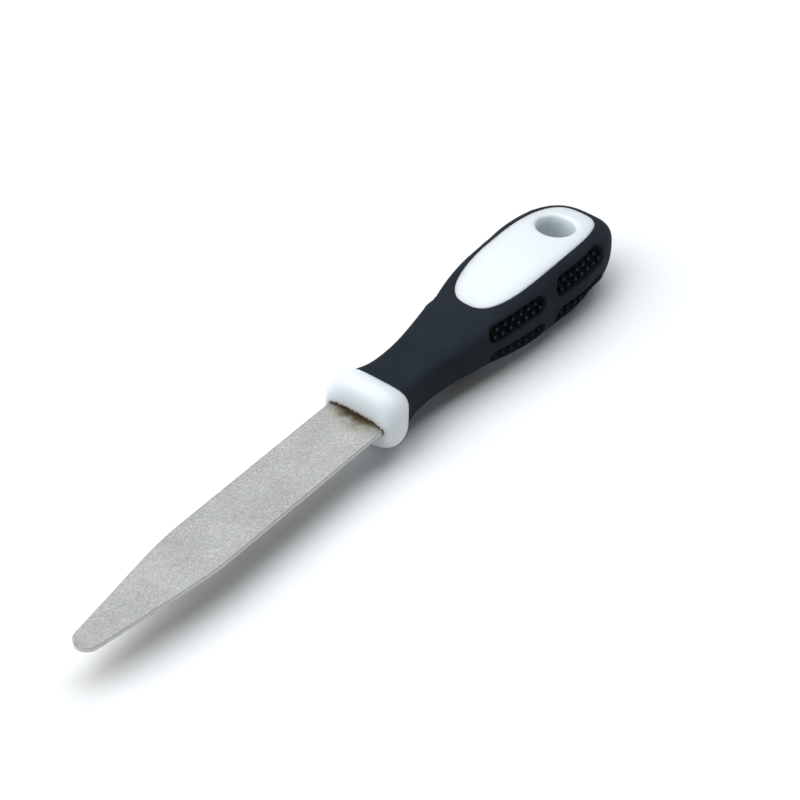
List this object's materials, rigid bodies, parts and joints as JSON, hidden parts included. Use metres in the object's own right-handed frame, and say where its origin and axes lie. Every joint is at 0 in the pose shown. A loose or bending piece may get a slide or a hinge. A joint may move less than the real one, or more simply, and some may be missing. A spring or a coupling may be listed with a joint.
{
  "type": "diamond edge file",
  "caption": "Flat tongue-shaped hand file with fine abrasive faces, bonded into a two-shot plastic handle with a hanging hole, for dressing and bevelling edges.",
  "frame": {"origin": "centre of the underside of the whole tool's box: midway along its length, on the blade's centreline, at the lowest point of the grip", "axes": "+X along the tool from the blade's tip to the handle's tail, +Z normal to the blade's flat face, +Y completes the frame across the blade"},
  "size_m": [0.16, 0.0218, 0.0172],
  "materials": {
    "blade_steel": "ground edge, dull",
    "diamond_grit": "nickel-bonded diamond grit, fine, rough and sparkling",
    "epoxy": "cured brown epoxy, uneven",
    "white_plastic": "hard white moulding, semi-gloss",
    "black_rubber": "soft-touch black elastomer, satin"
  },
  "bodies": {
    "root": {"blade_plate": "blade_steel", "abrasive_upper": "diamond_grit", "abrasive_lower": "diamond_grit", "tang_adhesive": "epoxy", "handle_core": "white_plastic", "grip_overmould": "black_rubber"}
  },
  "joints": []
}
